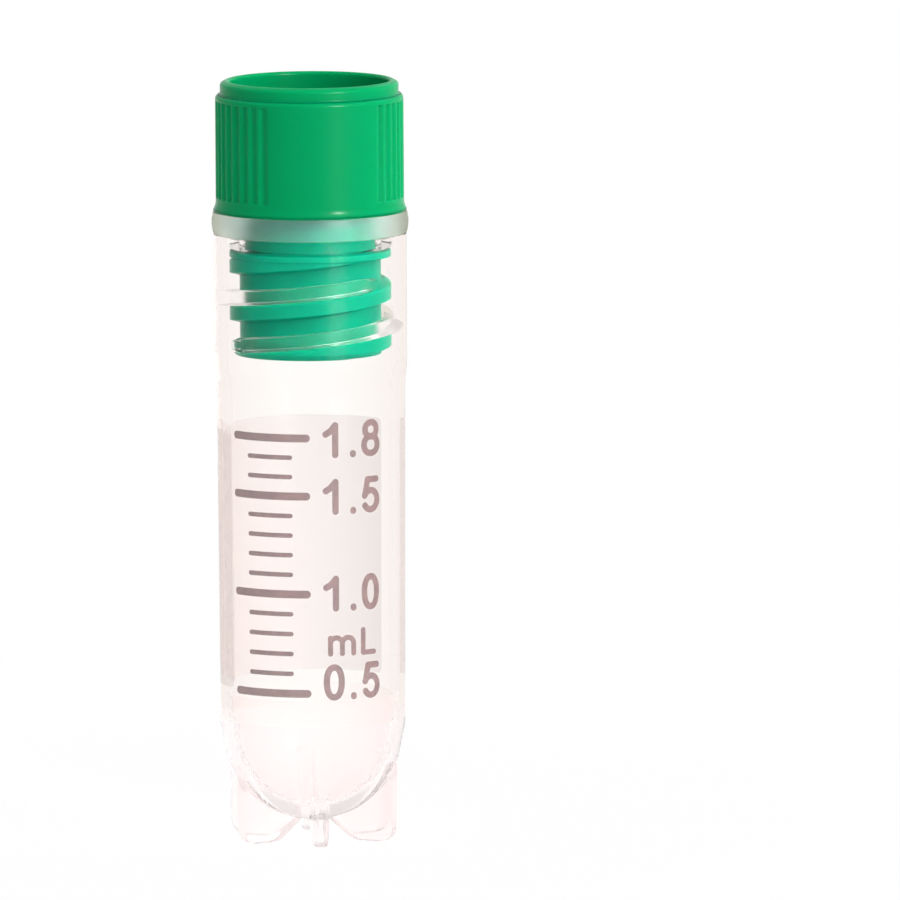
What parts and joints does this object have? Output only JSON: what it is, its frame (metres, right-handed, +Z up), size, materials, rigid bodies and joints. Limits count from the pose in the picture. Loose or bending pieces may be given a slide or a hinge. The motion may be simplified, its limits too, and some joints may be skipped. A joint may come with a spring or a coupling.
{
  "type": "cryogenic storage vial",
  "caption": "Round-bottomed cryovial on a star foot, with graduations, a captive seal ring and a ribbed internal-thread screw cap.",
  "frame": {"origin": "middle of the star foot, on the plane that the vial stands on", "axes": "+Z up along the vial's axis towards the cap; -Y is the graduated front"},
  "size_m": [0.0124, 0.0124, 0.0484],
  "materials": {
    "natural_polypropylene": "clear-frosted natural polypropylene, smooth",
    "clear_silicone": "translucent silicone, satin",
    "green_polypropylene": "moulded, semi-gloss"
  },
  "bodies": {
    "tube": {"tube": "natural_polypropylene"},
    "seal": {"seal_ring": "clear_silicone"},
    "cap": {"cap": "green_polypropylene"}
  },
  "joints": [
    {"name": "cap_lift", "type": "slide", "parent": "tube", "child": "seal", "axis": [0, 0, 1], "range_m": [0, 0.009]},
    {"name": "cap_turn", "type": "hinge", "parent": "seal", "child": "cap", "pos_m": [0, 0, 0.04], "axis": [0, 0, 1], "range_deg": [0, 1080]}
  ],
  "couplings": [
    {"joint": "cap_turn", "follows": "cap_lift", "rad_per_m": 2094.4}
  ]
}
